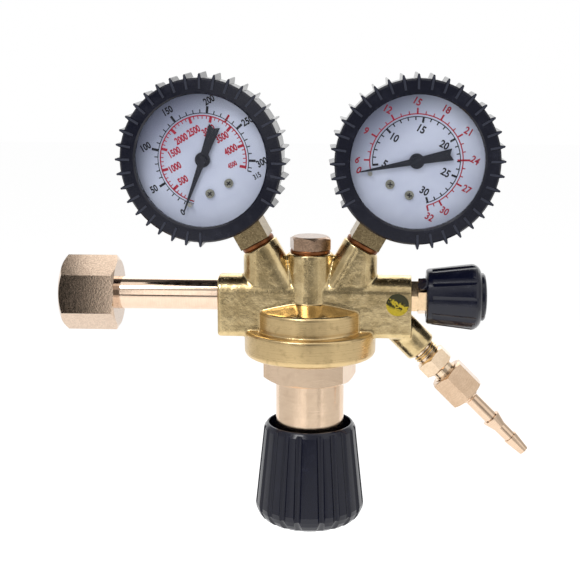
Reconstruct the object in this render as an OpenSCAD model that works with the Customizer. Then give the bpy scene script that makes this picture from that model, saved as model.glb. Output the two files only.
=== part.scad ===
// Welding gas regulator with two gauges, a pressure knob below and a flow valve on the right.
// The origin is on the inlet axis, at the inner end of the inlet nut's thread.
// +X runs along the barrel towards the flow valve, +Z is up, and the dials face -Y.

/* [Inlet] */
// Inlet nut, size across flats
nut_af = 30; // [26:0.5:34]
// Inlet nut, length along the barrel
nut_len = 25.4; // [22:0.2:30]
// Inlet nut, radius of the thread at its crests
nut_thread_r = 9.75; // [9.6:0.05:10]
// Inlet nut, length of the thread
nut_thread_len = 10.5; // [8:0.5:12]
// Inlet tube, outer diameter
tube_d = 15; // [12:0.5:17]

/* [Body] */
// Distance from the origin to the spring axis
axis_x = 103.3; // [96:0.1:116]
// Radius of the barrel's round top
barrel_r = 9.5; // [8.5:0.1:10.5]
// Half thickness of the barrel between its flat faces
barrel_half = 9; // [8.6:0.1:9.4]
// Barrel's left end, measured from the spring axis
barrel_left = 42; // [38:0.1:46]
// Barrel's right end, measured from the spring axis
barrel_right = 46.1; // [44:0.1:48]
// Depth of the barrel below its axis
barrel_deep = 18.5; // [18:0.1:20]
// Radius of the centre column
column_r = 10.4; // [10:0.1:11]
// Height of the centre column above the barrel axis
column_h = 19.7; // [19:0.1:21]

/* [Gauge bosses] */
// Tilt of the gauge stems from the vertical
stem_tilt = 29.3; // [27:0.1:31]
// Where the stem axes cross the barrel axis, from the spring axis
stem_cross = 10.5; // [10:0.1:12]
// Length of the bosses from the barrel axis
boss_t = 26.2; // [25:0.1:28]
// Radius of the bosses
boss_r = 8.6; // [8.4:0.1:8.8]

/* [Diaphragm cup] */
// Radius of the upper collar
collar_r = 24.2; // [23:0.1:25]
// Height of the collar's edge, below the barrel axis
collar_top = 7.2; // [6:0.1:8]
// Radius of the cup
cup_r = 30.2; // [29.6:0.1:31]
// Top of the cup, below the barrel axis
cup_top = 15.3; // [15:0.1:16]
// Bottom of the cup, below the barrel axis
cup_bottom = 28; // [27.6:0.1:29]

/* [Spring housing] */
// Spring housing's hexagon, size across flats
housing_af = 38; // [36:0.5:40]
// Bottom of the hexagon, below the barrel axis
housing_hex_z = 39.5; // [38:0.1:41]
// Radius of the housing tube
housing_r = 15.8; // [15:0.1:16.4]
// Bottom of the housing tube, below the barrel axis
housing_z = 90; // [88:0.5:91]

/* [Pressure knob] */
// Top of the knob, below the barrel axis
knob_top_z = 60.3; // [59:0.1:62]
// Bottom of the knob, below the barrel axis
knob_bottom_z = 108; // [107:0.5:110]
// Radius of the knob at its top edge
knob_top_r = 20.3; // [20:0.1:20.8]
// Radius of the knob where it is widest
knob_wide_r = 25.4; // [24.6:0.1:26]
// Travel of the adjusting screw
knob_travel = 10; // [6:0.5:10]

/* [Flow valve] */
// Left end of the flow knob, from the spring axis
flow_left = 52.8; // [52.6:0.1:54]
// Length of the flow knob
flow_len = 26.5; // [26:0.1:28]
// Radius of the flow knob at its left end
flow_small_r = 12.6; // [12:0.1:12.8]
// Radius of the flow knob where it is widest
flow_wide_r = 15; // [14.6:0.1:15.4]

/* [Outlet] */
// Where the outlet axis crosses the barrel axis, from the spring axis
outlet_cross = 27; // [25:0.1:27.6]
// End of the outlet boss along its axis
outlet_t = 34.5; // [34:0.1:36]
// Adapter hexagon, size across flats
adapter_af = 14; // [13:0.5:15]
// Union nut hexagon, size across flats
union_af = 16; // [15.5:0.5:17]

/* [Gauges] */
// Distance from the barrel axis to a gauge's centre, along its stem
gauge_t = 72.6; // [70:0.2:76]
// How far each gauge is turned outwards on its stem
gauge_turn = 4.5; // [0:0.5:12]
// Outer radius of the gauge case
case_r = 31.5; // [30:0.5:32]
// Outer radius of the rubber boot
boot_r = 36.1; // [35:0.1:36.6]
// Radius over the boot's ribs
rib_r = 38.1; // [37.2:0.1:38.6]
// Radius of the window
window_r = 29.2; // [28:0.1:29.6]
// Stem's wrench block, size across flats
block_af = 14; // [13:0.5:14.4]

/* [Hidden] */
$fn = 64;

brass = "#b39a68";
rose_brass = "#d9b48c";
copper = "#8a4a28";
steel = "#9ea0a4";
black = "#23242c";
rubber = "#26262e";

// Running clearance of shafts and moving seats
run = 0.06;
// Gap between faces of different bodies that only rest near each other
rest_gap = 0.02;
// A little more than a cut's depth
eps = 0.1;
// Side factor from a hexagon's flats to its corners
hex_k = 2 / sqrt(3);

// Inlet places along X
nose_x = 0.5;
collar_back = 5.2;
undercut_end = 5.5;
tube_thread_r = 6.5;
tube_thread_len = 13.5;
inlet_bore_r = 3.5;
filter_r = 4.4;
filter_x = 17;
// Inner passages of the body
plug_thread_r = 8;
plug_thread_z = 9;
chamber_r = 6.2;
chamber_z = -3;
seat_r = 4.8;
seat_z = -9;
seat_lip_z = -2.2;
cavity_z = -16.5;
cavity_r = 21;
land_z = -19.5;
cup_thread_r = 26;
boss_thread_r = 6.25;
boss_thread_end = 11.5;
low_passage_x = 17;
passage_r = 1.6;
// Flow valve and outlet passages
valve_seat_x = 23.5;
valve_chamber_r = 4.5;
bonnet_thread_r = 6.5;
bonnet_thread_x = 36;
outlet_thread_r = 5.5;
outlet_thread_t = 24;
// Relief valve on the back
relief_z = 1.6;
relief_thread_r = 4;
relief_seat_y = 3;
relief_len = 13.5;
relief_boss_r = 6.8;
end_round = 1.6;
outlet_boss_r = 7.7;
relief_face_y = 10.5;
// Diaphragm stack, as heights
diaphragm_t = 2;
slip_t = 1;
stack_z = land_z - diaphragm_t;
flange_z = stack_z - slip_t;
plate_t = 2;
plate_r = 15;
spring_top_z = stack_z - plate_t;
// Range spring and its button
spring_r = 10.4;
wire_r = 1.5;
button_top_z = -62;
button_t = 6;
housing_bore_r = 12.8;
end_wall = 10;
screw_r = 6;
screw_tip_z = -73;
ball_r = 3;
knob_floor_z = -(knob_bottom_z - 6);
flow_disc_r = 10.9;
flow_flutes = 10;
flow_first = 92.8;
flow_flute_r = 3.6;
lug_cone_x = outlet_cross + outlet_boss_r * sqrt(2) + 0.6;
knob_wide_z = -99;
knob_inner_top_r = 19.2;
flute_pitch = 16.725;
flute_count = 21;
flute_first = 15.4;
flute_r = 1.85;
flute_deep = 1.3;
flute_deep_top = 0.95;
// Outlet fittings along the 45 degree axis
adapter_hex_t = 39.1;
adapter_hex_end = 46.9;
union_t = 50.3;
union_end = 65.2;
tail_shoulder_end = 66.7;
tail_barb_t = 80.5;
tail_neck_t = 86.4;
tail_barb2_t = 93.3;
tail_tip_t = 102.5;
// Gauge depths along the dial's normal, viewer side negative
case_back_y = 9;
case_front_y = -17.6;
boot_front_y = -20;
boot_step_y = -6.5;
boot_back_y = 10.6;
sleeve_r = 33.3;
dial_y = -12.6;
dial_t = 0.6;
lens_y = -17.6;
lens_t = 2;
pointer_y = -14.4;
pointer_t = 0.5;
plate_front_y = -10.6;
plate_back_y = -5.6;
movement_t = 1;
// Stem below a gauge's centre
block_end = 44.3;
stem_thread_end = 57.5;
stem_thread_r = 6.2;
socket_top = 17;
gasket_t = gauge_t - block_end - boss_t;
// Bourdon tube
tube_mean_r = 21;
tube_start = -14;
tube_sweep = 262;
// Gear pair of the movement
gear_module = 0.4;
pinion_teeth = 10;
sector_teeth = 72;
pressure_angle = 25;
backlash = 0.06;
gear_w = 1.6;
gear_y = -8.58;
pivot_z = -gear_module * (pinion_teeth + sector_teeth) / 2 - 0.05;
arbor_r = 0.7;
tail_r = 6.5;
screw_x = 4.9;
screw_z = -14.6;
// Pointer at rest on its stop pin, degrees from the dial's right, anticlockwise
rest_angle = 220;
needle_len = 25;
rib_pitch = 10;
rib_gap = 25;

// Placement helpers

module at_axis() translate([axis_x, 0, 0]) children();

module along_x() rotate([0, 90, 0]) children();

module at_stem(side)
    translate([axis_x + side * stem_cross, 0, 0])
        rotate([0, side * stem_tilt, 0]) children();

module at_gauge(side)
    at_stem(side) rotate([0, 0, side * gauge_turn])
        translate([0, 0, gauge_t]) children();

module at_outlet()
    translate([axis_x + outlet_cross, 0, 0]) rotate([0, 135, 0]) children();

// Turns a revolved shape so that its axis is the dial's normal and its height is depth
module facing() rotate([-90, 0, 0]) children();

// Shape helpers

module ring(r_out, r_in, h) {
    difference() {
        cylinder(r = r_out, h = h);
        translate([0, 0, -eps]) cylinder(r = r_in, h = h + 2 * eps);
    }
}

// Hexagon along Z with both ends turned to a chamfer
module hex_bar(af, h, chamfer_low, chamfer_high) {
    corner = af / 2 * hex_k;
    drop = 0.55;
    intersection() {
        cylinder(r = corner, h = h, $fn = 6);
        rotate_extrude() polygon([
            [0, 0],
            [corner - chamfer_low, 0],
            [corner, chamfer_low * drop],
            [corner, h - chamfer_high * drop],
            [corner - chamfer_high, h],
            [0, h]
        ]);
    }
}

// Coil spring along Z as one swept wire
module coil(mean_r, wire, h, turns, rings_per_turn = 16, sides = 8) {
    steps = turns * rings_per_turn;
    rise = h - 2 * wire;
    function centre_at(i) = [
        mean_r * cos(360 * i / rings_per_turn),
        mean_r * sin(360 * i / rings_per_turn),
        wire + rise * i / steps
    ];
    function ring_at(i) = [
        for (k = [0:sides - 1])
            centre_at(i) + wire * [
                cos(360 * k / sides) * cos(360 * i / rings_per_turn),
                cos(360 * k / sides) * sin(360 * i / rings_per_turn),
                sin(360 * k / sides)
            ]
    ];
    points = [for (i = [0:steps]) each ring_at(i)];
    walls = [
        for (i = [0:steps - 1], k = [0:sides - 1])
            [
                i * sides + k,
                (i + 1) * sides + k,
                (i + 1) * sides + (k + 1) % sides,
                i * sides + (k + 1) % sides
            ]
    ];
    first_cap = [for (k = [0:sides - 1]) k];
    last_cap = [for (k = [sides - 1:-1:0]) steps * sides + k];
    polyhedron(concat(points), concat([first_cap], walls, [last_cap]));
}

// One point of an involute, at the angle where its string leaves the base circle
function involute(base, a) = base * [
    cos(a) + a * PI / 180 * sin(a),
    sin(a) - a * PI / 180 * cos(a)
];
function turn_point(p, a) = [p.x * cos(a) - p.y * sin(a), p.x * sin(a) + p.y * cos(a)];
function string_angle(base, r) = sqrt(max(0, pow(r / base, 2) - 1)) * 180 / PI;
function polar_angle(p) = atan2(p.y, p.x);

// Outline of one stub tooth on the +X side, from root to root
function tooth(teeth, m) =
    let (
        pitch_r = teeth * m / 2,
        base = pitch_r * cos(pressure_angle),
        tip = pitch_r + 0.8 * m,
        root = pitch_r - 1.0 * m,
        start = max(base, root),
        half = 90 / teeth - backlash / pitch_r * 90 / PI,
        shift = polar_angle(involute(base, string_angle(base, pitch_r))) + half,
        steps = 4,
        flank = [
            for (i = [0:steps])
                turn_point(involute(base, string_angle(base, start + (tip - start) * i / steps)), -shift)
        ],
        foot = turn_point([root - 0.05, 0], -shift),
        upper = [for (i = [steps:-1:0]) [flank[i].x, -flank[i].y]]
    )
    concat([foot], flank, upper, [[foot.x, -foot.y]]);

// Inlet

module inlet_tube() color(rose_brass) {
    x_end = axis_x - barrel_left;
    along_x() difference() {
        rotate_extrude() polygon([
            [inlet_bore_r, nose_x],
            [8.7, nose_x],
            [9.5, nose_x + 0.8],
            [9.5, collar_back],
            [tube_d / 2, collar_back],
            [tube_d / 2, x_end],
            [tube_thread_r - 0.02, x_end],
            [tube_thread_r - 0.02, x_end + tube_thread_len - 0.8],
            [tube_thread_r - 0.8, x_end + tube_thread_len],
            [inlet_bore_r, x_end + tube_thread_len]
        ]);
        translate([0, 0, nose_x - eps]) ring(7.4, 5.2, 1.4 + eps);
        translate([0, 0, nose_x - eps]) cylinder(r = filter_r, h = filter_x - nose_x + eps);
    }
}

module inlet_nut() color(rose_brass)
    translate([-nut_thread_len, 0, 0]) rotate([-6.5, 0, 0]) along_x() difference() {
        hex_bar(nut_af, nut_len, 3.0, 2.2);
        translate([0, 0, -eps]) cylinder(r = nut_thread_r, h = nut_thread_len + eps);
        translate([0, 0, -eps]) cylinder(r1 = nut_thread_r + 1.1, r2 = nut_thread_r, h = 1.1);
        translate([0, 0, nut_thread_len]) cylinder(r = nut_thread_r + 1.3, h = undercut_end);
        translate([0, 0, nut_thread_len]) cylinder(r = tube_d / 2 + run, h = nut_len);
    }

module inlet_seal() color("white")
    along_x() translate([0, 0, nose_x - 0.2]) ring(7.35, 5.25, 1.5);

module inlet_filter() color("#8c7a55")
    along_x() translate([0, 0, nose_x + 2]) difference() {
        cylinder(r = filter_r - 0.02, h = filter_x - nose_x - 2);
        translate([0, 0, -eps]) cylinder(r1 = 3, r2 = 2, h = filter_x - nose_x - 4);
    }

// Body

module barrel_section() {
    corner = 2.5;
    side = barrel_half - corner;
    intersection() {
        circle(r = barrel_r);
        translate([-barrel_half, -barrel_r]) square([2 * barrel_half, 2 * barrel_r]);
    }
    translate([-barrel_half, -barrel_deep + corner])
        square([2 * barrel_half, barrel_deep - corner]);
    translate([-side, -barrel_deep]) square([2 * side, corner + 1]);
    for (s = [-1, 1]) translate([s * side, -barrel_deep + corner]) circle(r = corner);
}

// The left end is forged with rounded corners, the right end is faced square
module barrel_side(half_deep) {
    length = barrel_left + barrel_right;
    translate([-barrel_left + end_round, -half_deep]) square([length - end_round, 2 * half_deep]);
    translate([-barrel_left, -half_deep + end_round])
        square([length, 2 * (half_deep - end_round)]);
    for (s = [-1, 1])
        translate([-barrel_left + end_round, s * (half_deep - end_round)]) circle(r = end_round);
}

module barrel() intersection() {
    translate([-barrel_left, 0, 0]) rotate([90, 0, 90])
        linear_extrude(barrel_left + barrel_right) barrel_section();
    // rounded in plan, then in elevation
    translate([0, 0, -barrel_deep - 1]) linear_extrude(barrel_deep + barrel_r + 2)
        barrel_side(barrel_half);
    translate([0, barrel_r, (barrel_r - barrel_deep) / 2]) rotate([90, 0, 0])
        linear_extrude(2 * barrel_r) barrel_side((barrel_r + barrel_deep) / 2);
}

// The boss fills the corner between its own tilted axis and an upright outer side
module gauge_boss(side) {
    outer_x = stem_cross + boss_t * sin(stem_tilt) + boss_r * cos(stem_tilt);
    corner_z = boss_t * cos(stem_tilt) - boss_r * sin(stem_tilt);
    hull() {
        translate([side * stem_cross, 0, 0]) rotate([0, side * stem_tilt, 0]) {
            cylinder(r = boss_r, h = boss_t - 0.7, $fn = 36);
            cylinder(r = boss_r - 0.7, h = boss_t, $fn = 36);
        }
        translate([side * (outer_x - boss_r - 0.3), 0, 0])
            cylinder(r = boss_r, h = corner_z - 0.4, $fn = 36);
    }
}

module cup_outside()
    rotate_extrude() polygon([
        [0, -2],
        [column_r, -2.6],
        [collar_r - 1.3, -collar_top + 1.3],
        [collar_r - 0.4, -collar_top + 0.8],
        [collar_r, -collar_top],
        [collar_r, -cup_top - 0.5],
        [collar_r + 0.9, -cup_top - 0.5],
        [collar_r + 1.3, -cup_top],
        [cup_r - 1.2, -cup_top],
        [cup_r - 0.3, -cup_top - 0.4],
        [cup_r, -cup_top - 1.3],
        [cup_r, -cup_bottom + 2.4],
        [cup_r - 0.7, -cup_bottom + 0.9],
        [cup_r - 2.4, -cup_bottom],
        [0, -cup_bottom]
    ]);

module outlet_boss()
    translate([outlet_cross, 0, 0]) rotate([0, 135, 0])
        rotate_extrude() polygon([
            [0, 0],
            [outlet_boss_r, 0],
            [outlet_boss_r, outlet_t - 1],
            [outlet_boss_r - 0.8, outlet_t],
            [0, outlet_t]
        ]);

module relief_boss()
    translate([low_passage_x, 0, relief_z]) facing() rotate_extrude() polygon([
        [0, 0],
        [relief_boss_r, 0],
        [relief_boss_r, relief_face_y - 0.6],
        [relief_boss_r - 0.6, relief_face_y],
        [0, relief_face_y]
    ]);

module column()
    rotate_extrude() polygon([
        [0, -6],
        [column_r + 0.7, -6],
        [column_r, column_h - 0.6],
        [column_r - 0.6, column_h],
        [0, column_h]
    ]);

module body_passages() {
    // inlet thread and the high pressure passage
    translate([-barrel_left - eps, 0, 0]) along_x()
        cylinder(r = tube_thread_r, h = tube_thread_len + 1 + eps);
    translate([-barrel_left, 0, 0]) along_x()
        cylinder(r = passage_r, h = barrel_left - chamber_r + 1);
    // plug thread, valve chamber, seat bore and push pin hole
    translate([0, 0, plug_thread_z]) cylinder(r = plug_thread_r, h = column_h);
    translate([0, 0, chamber_z]) cylinder(r = chamber_r, h = plug_thread_z - chamber_z + eps);
    translate([0, 0, seat_z]) cylinder(r = seat_r, h = chamber_z - seat_z + eps);
    translate([0, 0, cavity_z]) cylinder(r = passage_r, h = seat_z - cavity_z + eps);
    // gauge threads and their passages
    for (side = [-1, 1])
        translate([side * stem_cross, 0, 0]) rotate([0, side * stem_tilt, 0])
            translate([0, 0, boss_thread_end]) cylinder(r = boss_thread_r, h = boss_t);
    translate([-stem_cross, 0, 0]) rotate([0, -stem_tilt, 0])
        cylinder(r = passage_r, h = boss_thread_end + eps);
    translate([low_passage_x, 0, cavity_z - eps]) cylinder(r = passage_r, h = 12 - cavity_z);
    // diaphragm chamber and the cup's thread
    translate([0, 0, land_z - eps]) cylinder(r = cavity_r, h = cavity_z - land_z + eps);
    translate([0, 0, -cup_bottom - eps]) cylinder(r = cup_thread_r, h = land_z + cup_bottom + eps);
    // flow valve
    translate([low_passage_x, 0, 0]) along_x()
        cylinder(r = passage_r, h = valve_seat_x - low_passage_x + eps);
    translate([valve_seat_x, 0, 0]) along_x()
        cylinder(r = valve_chamber_r, h = bonnet_thread_x - valve_seat_x + eps);
    translate([bonnet_thread_x, 0, 0]) along_x() cylinder(r = bonnet_thread_r, h = barrel_right);
    // outlet
    translate([outlet_cross, 0, 0]) rotate([0, 135, 0]) {
        cylinder(r = 2.2, h = outlet_t);
        translate([0, 0, outlet_thread_t]) cylinder(r = outlet_thread_r, h = outlet_t);
    }
    // relief valve
    translate([low_passage_x, 0, relief_z]) facing() {
        cylinder(r = 1.2, h = relief_seat_y + eps);
        translate([0, 0, relief_seat_y]) cylinder(r = relief_thread_r, h = relief_face_y);
    }
}

module body() color(brass) at_axis() difference() {
    union() {
        barrel();
        column();
        gauge_boss(-1);
        gauge_boss(1);
        cup_outside();
        outlet_boss();
        relief_boss();
    }
    body_passages();
}

// Top of the column

module top_plug() color(rose_brass) at_axis() difference() {
    union() {
        translate([0, 0, column_h + 1.6]) rotate([0, 0, -77]) hex_bar(17, 6, 0.5, 2.2);
        translate([0, 0, plug_thread_z + 1])
            cylinder(r = plug_thread_r - 0.02, h = column_h - plug_thread_z + 1);
    }
    translate([0, 0, plug_thread_z]) cylinder(r = 4.5, h = 8);
}

module plug_gasket() color(copper) at_axis()
    translate([0, 0, column_h]) rotate_extrude() polygon([
        [plug_thread_r + 0.05, 0],
        [8.9, 0],
        [9.1, 0.4],
        [9.1, 1.2],
        [8.9, 1.6],
        [plug_thread_r + 0.05, 1.6]
    ]);

module poppet_spring() color(steel) at_axis()
    translate([0, 0, 6.05]) coil(3.4, 0.5, 10.9, 6);

module poppet() color(rose_brass) at_axis()
    rotate_extrude() polygon([
        [0, land_z + 1],
        [0.9, land_z + 1],
        [0.9, seat_lip_z + rest_gap],
        [3.4, seat_lip_z + rest_gap],
        [4.4, seat_lip_z + 1],
        [4.4, 6],
        [2.6, 6],
        [2.6, 9],
        [2.2, 9.4],
        [0, 9.4]
    ]);

module valve_seat() color(brass) at_axis()
    rotate_extrude() polygon([
        [1.5, seat_z],
        [seat_r - 0.02, seat_z],
        [seat_r - 0.02, chamber_z],
        [3.0, chamber_z],
        [2.2, seat_lip_z],
        [1.5, seat_lip_z]
    ]);

// Diaphragm

module diaphragm() color(rubber) at_axis()
    translate([0, 0, stack_z]) ring(cup_thread_r - 0.2, 3.1, diaphragm_t);

module diaphragm_plate() color(steel) at_axis()
    rotate_extrude() polygon([
        [0, spring_top_z],
        [plate_r - 0.4, spring_top_z],
        [plate_r, spring_top_z + 0.4],
        [plate_r, stack_z - rest_gap],
        [2.9, stack_z - rest_gap],
        [2.9, land_z + 1],
        [0, land_z + 1]
    ]);

module slip_ring() color(steel) at_axis()
    translate([0, 0, flange_z]) ring(cup_thread_r - 0.2, cavity_r - 1, slip_t);

// Spring housing and what turns below it

module spring_housing() color(rose_brass) at_axis() difference() {
    union() {
        translate([0, 0, -cup_bottom]) cylinder(r = cup_thread_r - 0.02, h = flange_z + cup_bottom);
        translate([0, 0, -housing_hex_z]) rotate([0, 0, -104.5])
            hex_bar(housing_af, housing_hex_z - cup_bottom, 3.2, 0.6);
        translate([0, 0, -housing_z]) rotate_extrude() polygon([
            [0, 0],
            [housing_r - 1, 0],
            [housing_r, 1],
            [housing_r, housing_z - housing_hex_z + 1],
            [0, housing_z - housing_hex_z + 1]
        ]);
    }
    translate([0, 0, flange_z - 4]) cylinder(r = cavity_r - 1, h = 4 + eps);
    translate([0, 0, -housing_z + end_wall]) cylinder(r = housing_bore_r, h = housing_z);
    translate([0, 0, -housing_z - eps]) cylinder(r = screw_r, h = end_wall + 2 * eps);
    // vent hole of the spring chamber
    translate([0, 0, -50]) rotate([90, 0, 180]) cylinder(r = 1, h = housing_r + 1);
}

module range_spring() color(steel) at_axis()
    translate([0, 0, button_top_z]) coil(spring_r, wire_r, spring_top_z - button_top_z, 7, 20, 8);

module spring_button() color(steel) at_axis() translate([0, 0, button_top_z - button_t]) {
    difference() {
        rotate_extrude() polygon([
            [0, 0],
            [8, 0],
            [11.8, 3],
            [housing_bore_r - 0.3, 3],
            [housing_bore_r - 0.3, button_t],
            [8.4, button_t],
            [8.4, button_t + 2],
            [7.6, button_t + 2.8],
            [0, button_t + 2.8]
        ]);
        translate([0, 0, 0.2]) sphere(r = ball_r + 0.05);
    }
}

module thrust_ball() color(steel) at_axis()
    translate([0, 0, button_top_z - button_t + 0.2]) sphere(r = ball_r);

module adjusting_screw() color(steel) at_axis() difference() {
    rotate_extrude() polygon([
        [0, -knob_bottom_z + 2.5],
        [7.5, -knob_bottom_z + 2.5],
        [7.5, knob_floor_z],
        [screw_r - run, knob_floor_z],
        [screw_r - run, button_top_z - button_t - 2],
        [screw_r - run - 1, button_top_z - button_t - 1],
        [0, button_top_z - button_t - 1]
    ]);
    translate([0, 0, button_top_z - button_t + 0.2]) sphere(r = ball_r + 0.05);
}

function flute_angle(i) = -90 + flute_first + i * flute_pitch;

// Round cutter between two points given as radius and height
module flute(low, high) {
    lean = atan2(low.x - high.x, high.y - low.y);
    translate([low.x, 0, low.y]) rotate([0, -lean, 0]) cylinder(r = flute_r, h = norm(high - low));
}

// One flute runs down the side and follows the rounded edge below it
module knob_flute() {
    wide = [knob_wide_r + flute_r - flute_deep, knob_wide_z];
    top = [knob_top_r + 0.9 + flute_r - flute_deep_top, -knob_top_z - 0.9];
    edge = [knob_wide_r - 2 + flute_r - 1.45, knob_wide_z - 5.9];
    slope = [0.634, 0.773];
    flute(wide + (wide - top) * 0.1, top);
    flute(edge - 7 * slope, edge + 6 * slope);
}

module pressure_knob() color(black) at_axis() difference() {
    rotate_extrude() polygon(concat(
        [
            [0, -knob_bottom_z],
            [16.5, -knob_bottom_z]
        ],
        [
            for (a = [-60:15:0])
                [
                    knob_wide_r - 8.6 + 8.6 * cos(a),
                    knob_wide_z + (knob_bottom_z + knob_wide_z - 0.8) * sin(a) / sin(60) * 0.93
                ]
        ],
        [
            [knob_top_r + 1.1, -knob_top_z - 2.2],
            [knob_top_r, -knob_top_z - 0.5],
            [knob_top_r - 0.5, -knob_top_z],
            [knob_inner_top_r, -knob_top_z],
            [knob_inner_top_r + 1.6, knob_floor_z],
            [0, knob_floor_z]
        ]
    ));
    for (i = [0:flute_count - 1]) rotate([0, 0, flute_angle(i)]) knob_flute();
    translate([0, 0, -knob_bottom_z - eps]) cylinder(r = 13.5, h = 1.5 + eps);
    translate([0, 0, -knob_bottom_z - eps]) cylinder(r = 7.52, h = 20);
}

module pressure_knob_cap() color(black) at_axis()
    translate([0, 0, -knob_bottom_z]) rotate_extrude() polygon([
        [0, 0],
        [12.6, 0],
        [13.45, 0.6],
        [13.45, 1.5],
        [7.3, 1.5],
        [7.3, 2.4],
        [0, 2.4]
    ]);

// Relief valve on the back of the body

module at_relief() translate([axis_x + low_passage_x, 0, relief_z]) facing() children();

module relief_body() color(rose_brass) at_relief() difference() {
    union() {
        translate([0, 0, relief_seat_y + 2])
            cylinder(r = relief_thread_r - 0.02, h = relief_face_y - relief_seat_y - 1);
        translate([0, 0, relief_face_y]) hex_bar(11, 5, 0.4, 0.8);
        translate([0, 0, relief_face_y + 4]) rotate_extrude() polygon([
            [0, 0],
            [4.6, 0],
            [4.6, relief_len - 5.2],
            [3.8, relief_len - 4.4],
            [0, relief_len - 4.4]
        ]);
    }
    translate([0, 0, relief_seat_y]) cylinder(r = 3, h = relief_len + 0.5);
    for (a = [0:90:270]) rotate([0, 0, a]) translate([1.6, 0, relief_seat_y]) cylinder(r = 0.7, h = 20);
}

module relief_disc() color(steel) at_relief()
    translate([0, 0, relief_seat_y + rest_gap]) rotate_extrude() polygon([
        [0, 0],
        [2.8, 0],
        [2.8, 1.5],
        [1.2, 1.5],
        [1.2, 4],
        [0, 4]
    ]);

module relief_spring() color(steel) at_relief()
    translate([0, 0, relief_seat_y + 1.6]) coil(2.1, 0.3, relief_len - 1.7, 8, 12, 6);

// Flow valve on the right

module valve_bonnet() color(rose_brass) at_axis() along_x() difference() {
    union() {
        translate([0, 0, bonnet_thread_x + 1])
            cylinder(r = bonnet_thread_r - 0.02, h = barrel_right - bonnet_thread_x);
        translate([0, 0, barrel_right]) rotate([0, 0, 20]) hex_bar(13.6, 3, 0.2, 0.5);
        translate([0, 0, barrel_right + 2.9]) cylinder(r = 5, h = 4);
    }
    translate([0, 0, bonnet_thread_x]) cylinder(r = 3 + run, h = 20);
    translate([0, 0, barrel_right + 4]) cylinder(r = 4.4, h = 5);
}

module gland_nut() color(rose_brass) at_axis() along_x()
    translate([0, 0, barrel_right + 3]) difference() {
        rotate([0, 0, 8]) hex_bar(14.8, 5, 0.4, 0.9);
        translate([0, 0, -eps]) cylinder(r = 5.05, h = 4.1);
        cylinder(r = 3 + run, h = 10);
    }

module spindle_oring() color(rubber) at_axis() along_x()
    translate([0, 0, barrel_right + 5]) rotate_extrude() translate([3.74, 0]) circle(r = 0.63, $fn = 24);

module valve_disc() color("white") at_axis() along_x()
    translate([0, 0, valve_seat_x + rest_gap]) rotate_extrude() polygon([
        [0, 0],
        [2.6, 0],
        [3.2, 0.8],
        [3.2, 3],
        [1.6, 3],
        [1.6, 6],
        [0, 6]
    ]);

module valve_spindle() color(steel) at_axis() along_x() difference() {
    rotate_extrude() polygon([
        [0, valve_seat_x + 3.1],
        [2.4, valve_seat_x + 3.1],
        [2.4, bonnet_thread_x - 2],
        [3, bonnet_thread_x - 1],
        [3, flow_left + flow_len - 8],
        [2.4, flow_left + flow_len - 7],
        [0, flow_left + flow_len - 7]
    ]);
    translate([0, 0, valve_seat_x]) cylinder(r = 1.6 + run, h = 6.2);
}

module flow_knob() color(black) at_axis() along_x() difference() {
    union() {
        rotate_extrude() polygon(concat(
            [
                [0, flow_left + 6],
                [9.4, flow_left + 6],
                [9.4, flow_left],
                [flow_small_r - 0.7, flow_left],
                [flow_small_r, flow_left + 0.7]
            ],
            [
                for (a = [0:15:60])
                    [
                        flow_wide_r - 5.6 + 5.6 * cos(a),
                        flow_left + flow_len - 6 + 4.6 * sin(a)
                    ]
            ],
            [
                [flow_disc_r, flow_left + flow_len - 1.8],
                [flow_disc_r, flow_left + flow_len - 0.7],
                [flow_disc_r - 0.7, flow_left + flow_len],
                [0, flow_left + flow_len]
            ]
        ));
        // round lug on the rim, cut back to turn past the outlet boss
        intersection() {
            rotate([0, 0, 230.6]) translate([11.5, 0, flow_left - 1.6]) sphere(r = 2.75);
            translate([0, 0, lug_cone_x]) cylinder(r1 = 0, r2 = 20, h = 20);
        }
    }
    for (i = [0:flow_flutes - 1])
        rotate([0, 0, -flow_first + i * 360 / flow_flutes])
            translate([flow_small_r + flow_flute_r - 0.5, 0, flow_left + 2.2])
                rotate([0, atan2(flow_wide_r - flow_small_r - 0.1, flow_len - 8), 0])
                    cylinder(r = flow_flute_r, h = flow_len);
    translate([0, 0, flow_left + 5]) cylinder(r = 3.02, h = 15.2);
    translate([0, 0, flow_left + flow_len - 0.8]) cylinder(r = 9.3, h = 2);
}

module flow_knob_cap() color(black) at_axis() along_x()
    translate([0, 0, flow_left + flow_len - 0.8]) rotate_extrude() polygon([
        [0, 0],
        [9.25, 0],
        [9.25, 0.8],
        [8, 1.3],
        [0, 1.3]
    ]);

// Outlet fittings

module outlet_adapter() color(brass) at_outlet() difference() {
    union() {
        translate([0, 0, outlet_thread_t + 1]) rotate_extrude() polygon([
            [0, 0],
            [outlet_thread_r - 0.8, 0],
            [outlet_thread_r - 0.02, 0.8],
            [outlet_thread_r - 0.02, adapter_hex_t - outlet_thread_t],
            [0, adapter_hex_t - outlet_thread_t]
        ]);
        translate([0, 0, adapter_hex_t]) rotate([0, 0, 30])
            hex_bar(adapter_af, adapter_hex_end - adapter_hex_t, 1.9, 1.9);
        translate([0, 0, adapter_hex_end - eps]) cylinder(r = 4.9, h = 4.5);
        translate([0, 0, adapter_hex_end + 3]) rotate_extrude() polygon([
            [0, 0],
            [6, 0],
            [6, 7.6],
            [5.2, 8.4],
            [0, 8.4]
        ]);
    }
    translate([0, 0, outlet_thread_t]) cylinder(r = 2.2, h = 40);
    translate([0, 0, adapter_hex_end + 9.4]) cylinder(r1 = 2.2, r2 = 4.2, h = 2.1);
}

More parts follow.
